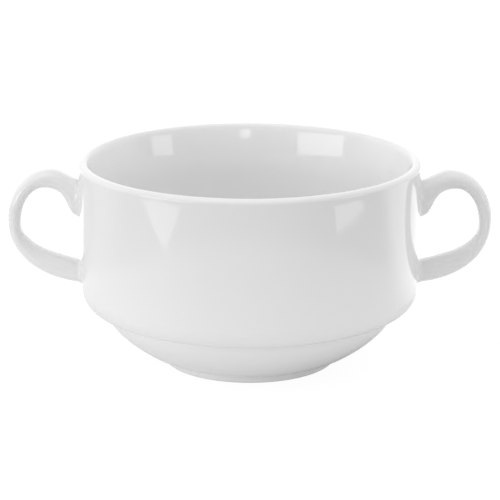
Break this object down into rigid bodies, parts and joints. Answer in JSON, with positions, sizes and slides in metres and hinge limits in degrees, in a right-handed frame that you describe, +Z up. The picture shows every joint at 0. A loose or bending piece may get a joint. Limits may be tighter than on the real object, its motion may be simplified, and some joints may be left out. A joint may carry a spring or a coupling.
{
  "type": "soup bowl",
  "caption": "White glazed porcelain soup bowl with upright wall, rounded stacking ledge, low foot ring and looped ear handles on opposite sides for lifting it.",
  "frame": {"origin": "centre of the foot ring on the table surface, on the bowl's axis", "axes": "+Z up along the bowl's axis, handles along +X and -X, the side seen in the picture towards -Y"},
  "size_m": [0.1493, 0.105, 0.0636],
  "materials": {
    "glazed_bowl": "clear gloss glaze over white porcelain, unglazed on the foot ring's standing face",
    "glazed_handle": "clear gloss glaze over white cast porcelain",
    "glazed_slip": "smoothed joining slip under the same clear gloss glaze"
  },
  "bodies": {
    "root": {"bowl_body": "glazed_bowl", "handle_left": "glazed_handle", "handle_right": "glazed_handle", "slip_joint_left_upper": "glazed_slip", "slip_joint_left_lower": "glazed_slip", "slip_joint_right_upper": "glazed_slip", "slip_joint_right_lower": "glazed_slip"}
  },
  "joints": []
}
